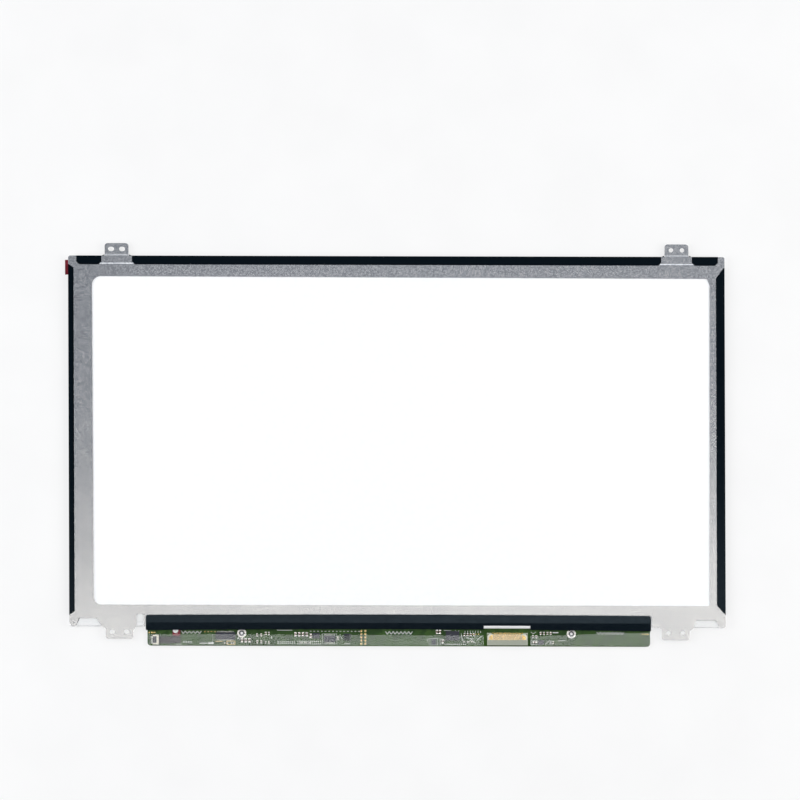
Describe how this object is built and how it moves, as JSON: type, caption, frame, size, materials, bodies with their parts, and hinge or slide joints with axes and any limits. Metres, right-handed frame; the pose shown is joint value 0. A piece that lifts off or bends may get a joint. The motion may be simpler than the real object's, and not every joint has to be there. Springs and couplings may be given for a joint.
{
  "type": "laptop screen panel",
  "caption": "Slim laptop screen panel lying face down: layered screen and backlight in a thin metal frame with screw ears, black edge tapes and a narrow control board.",
  "frame": {"origin": "middle of the outline, on the outer face of the protective film that covers the screen", "axes": "+X to the right as seen from behind, +Y towards the top edge, +Z from the screen to the back"},
  "size_m": [0.361, 0.2238, 0.0032],
  "materials": {
    "sheet_metal": "satin zinc-coated sheet with a fine mottle",
    "reflector_white": "matt white film",
    "moulded_white": "satin moulded polycarbonate",
    "black_tape": "satin black tape",
    "clear_film": "clear glossy film",
    "red_film": "translucent red film",
    "polarizer": "dark satin film",
    "screen_glass": "thin polished glass",
    "optical_sheet": "milky sheet",
    "light_guide": "clear polished plate",
    "brown_circuit": "satin flexible circuit",
    "lamp": "white body with a yellow window",
    "silicon": "bare polished chip",
    "green_board": "satin green lacquer",
    "tinned": "tin-plated copper",
    "gold": "gold-plated copper",
    "ivory_plastic": "satin ivory moulding",
    "bright_metal": "bright plated sheet",
    "chip_black": "matt black moulding",
    "chip_brown": "fired ceramic"
  },
  "bodies": {
    "root": {"rear_frame": "sheet_metal", "reflector_sheet": "reflector_white", "support_frame": "moulded_white", "top_tape_left": "black_tape", "top_tape_centre": "black_tape", "top_tape_right": "black_tape", "left_tape": "black_tape", "right_tape": "black_tape", "board_tape": "black_tape", "rim_tape": "black_tape", "board_film_left": "clear_film", "board_film_right": "clear_film", "protective_film": "clear_film", "film_pull_tab": "red_film", "front_polarizer": "polarizer", "rear_polarizer": "polarizer", "colour_filter_glass": "screen_glass", "tft_glass": "screen_glass", "upper_prism_sheet": "optical_sheet", "lower_prism_sheet": "optical_sheet", "diffuser_sheet": "optical_sheet", "light_guide_plate": "light_guide", "lamp_strip_circuit": "brown_circuit", "driver_film_left": "brown_circuit", "driver_film_centre": "brown_circuit", "driver_film_right": "brown_circuit", "backlight_lamps": "lamp", "driver_chips": "silicon", "control_board": "green_board", "ground_rings": "tinned", "chip_leads": "tinned", "chip_ends": "tinned", "lamp_socket_pins": "tinned", "test_pads": "gold", "signal_socket_contacts": "gold", "signal_socket_housing": "ivory_plastic", "lamp_socket": "ivory_plastic", "lamp_socket_latch": "chip_black", "signal_socket_shell": "bright_metal", "gamma_chip": "chip_black", "level_shift_chip": "chip_black", "backlight_driver_chip": "chip_black", "memory_chip": "chip_black", "timing_controller_chip": "chip_black", "regulator_chip": "chip_black", "power_inductor": "chip_black", "chip_bodies": "chip_brown"}
  },
  "joints": []
}
